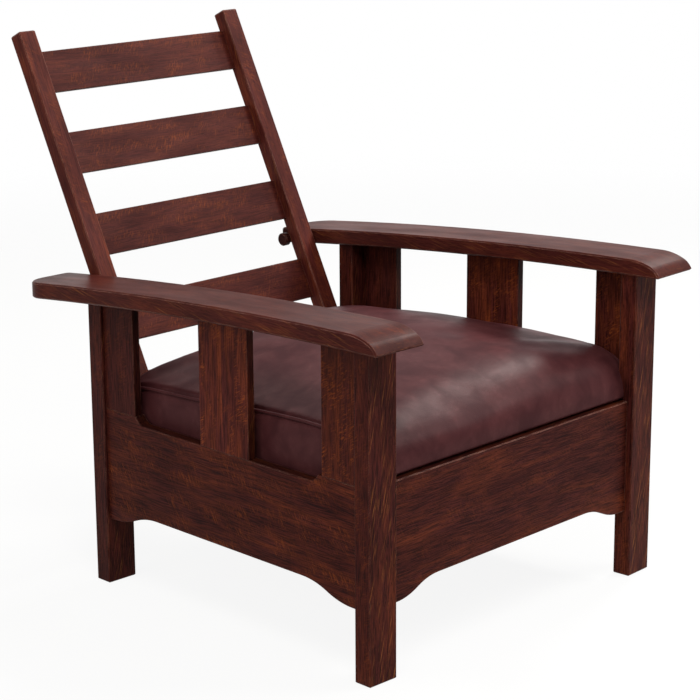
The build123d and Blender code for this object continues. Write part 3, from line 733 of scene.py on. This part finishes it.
def plumpCushion(values):
    low, high = (Vector(corner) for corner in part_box("seat_cushion"))
    mesh = cushionBlank(low, high, values)
    start = [vertex.co.copy() for vertex in mesh.vertices]
    tree = BVHTree.FromPolygons(start, [tuple(face.vertices) for face in mesh.polygons])
    lines = weltLines(tree, low, high, values)
    seams = KDTree(sum(len(points) for points in lines.values()))
    for points in lines.values():
        for point in points:
            seams.insert(point, 0)
    seams.balance()

    pad = bpy.data.objects.new("seatCushion", mesh)
    bpy.context.scene.collection.objects.link(pad)
    swellCover(pad, start, seams, low, values)
    stitchCover(mesh, seams, low, values)
    smooth = pad.modifiers.new("finer", "SUBSURF")
    smooth.levels = smooth.render_levels = 1
    finished = bakedMesh(pad)
    bpy.data.objects.remove(pad)
    piece = newPiece("seatCushion", finished, seatLeather, "cushion")
    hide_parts("seat_cushion")
    return piece, lines


def cordWelt(name, points, values):
    cord = closedCurve(name, points[::values["weltEvery"]], values["weltDivisions"])
    cord.bevel_depth = values["weltRadius"]
    cord.bevel_resolution = values["weltFacets"]
    return newPiece(name, curveMesh(cord), seatLeather, "cushion")


seatCushion, weltPoints = plumpCushion(cushion)
for side, points in weltPoints.items():
    cordWelt(f"{side}SideWelt", points, cushion)
top = max(v.co.z for v in seatCushion.data.vertices)
print("cushion made:", len(seatCushion.data.polygons), "faces, top", round(top / mm, 1), "mm")


# Plain-sawn hardwood left bare, as seat frames are underneath: pale tan, dull, with open grain.
deckWood = {
    "pale": "B08A5E",
    "streak": "7E5A38",
    "grain": {"size": (2.6, 2.6, 120.0), "detail": 3.0, "distortion": 0.4},      # size in mm
    "grainEdges": (0.40, 0.66),
    "bumpStrength": 0.4,
    "bumpDepth": 0.2,                    # mm
    "specular": 0.25,
    "roughness": 0.72,
    "shifts": (97.0, 41.0, 173.0),       # mm, so that no two slats are alike
}


def deckMaterial(name, grain, face, seed, values=deckWood):
    material, tree = newMaterial(name)
    place = addNode(tree, "TexCoord")
    flat = addNode(tree, "Mapping", {
        "Rotation": Matrix((face.cross(grain), face, grain)).to_euler(),
        "Location": [seed * step for step in values["shifts"]],
        "Scale": (1 / mm,) * 3,
        "Vector": place.outputs["Object"],
    })
    grainLines = spots(tree, flat, **values["grain"])
    low, high = values["grainEdges"]
    amount = addNode(tree, "MapRange", {"Value": grainLines, "From Min": low, "From Max": high})
    colour = coat(tree, hexToLinear(values["pale"]), values["streak"], amount)
    bump = addNode(tree, "Bump", {
        "Strength": values["bumpStrength"], "Distance": values["bumpDepth"] * mm, "Height": grainLines,
    })
    surface = addNode(tree, "BsdfPrincipled", {
        "IOR": 1.5, "Specular IOR Level": values["specular"], "Roughness": values["roughness"],
        "Base Color": colour, "Normal": bump,
    })
    addNode(tree, "OutputMaterial", {0: surface})
    return material


deckBoards = {f"seat_slat_{number}": ("middle", "wide", "up") for number in range(1, 7)}
deckBoards.update({f"{side}_seat_cleat": (side, "along", "across") for side in ("right", "left")})
for seed, (name, (side, grain, face)) in enumerate(deckBoards.items(), start=1):
    ways = directions(side)
    dress(nodes[name], deckMaterial(f"plainSawnWood_{name}", ways[grain], ways[face], seed))
print("deck finished:", len(deckBoards))


# Cold-rolled steel, oiled and gone brown-grey with age: dull metal with faint blotches of darker scale.
steel = {
    "bare": "6E6860",
    "scale": "3B342E",
    "blotches": {"size": (9.0, 9.0, 9.0), "detail": 4.0, "roughness": 0.6, "edges": (0.38, 0.66)},   # in mm
    "roughness": 0.46,
    "blotchGloss": (-0.08, 0.18),        # added to the roughness of bare steel and of scale
}


def steelMaterial(name, values=steel):
    material, tree = newMaterial(name)
    place = addNode(tree, "TexCoord")
    flat = addNode(tree, "Mapping", {"Scale": (1 / mm,) * 3, "Vector": place.outputs["Object"]})
    blotches = spots(tree, flat, **values["blotches"])
    colour = coat(tree, hexToLinear(values["bare"]), values["scale"], blotches)
    glossier, duller = values["blotchGloss"]
    rough = addNode(tree, "MapRange", {
        "Value": blotches, "To Min": values["roughness"] + glossier, "To Max": values["roughness"] + duller,
    })
    surface = addNode(tree, "BsdfPrincipled", {"Metallic": 1.0, "Base Color": colour, "Roughness": rough})
    addNode(tree, "OutputMaterial", {0: surface})
    return material


agedSteel = steelMaterial("agedSteel")
hardware = [name for name in nodes if "hinge" in name or "screws" in name]
for name in hardware:
    dress(nodes[name], agedSteel)
print("hardware finished:", len(hardware))
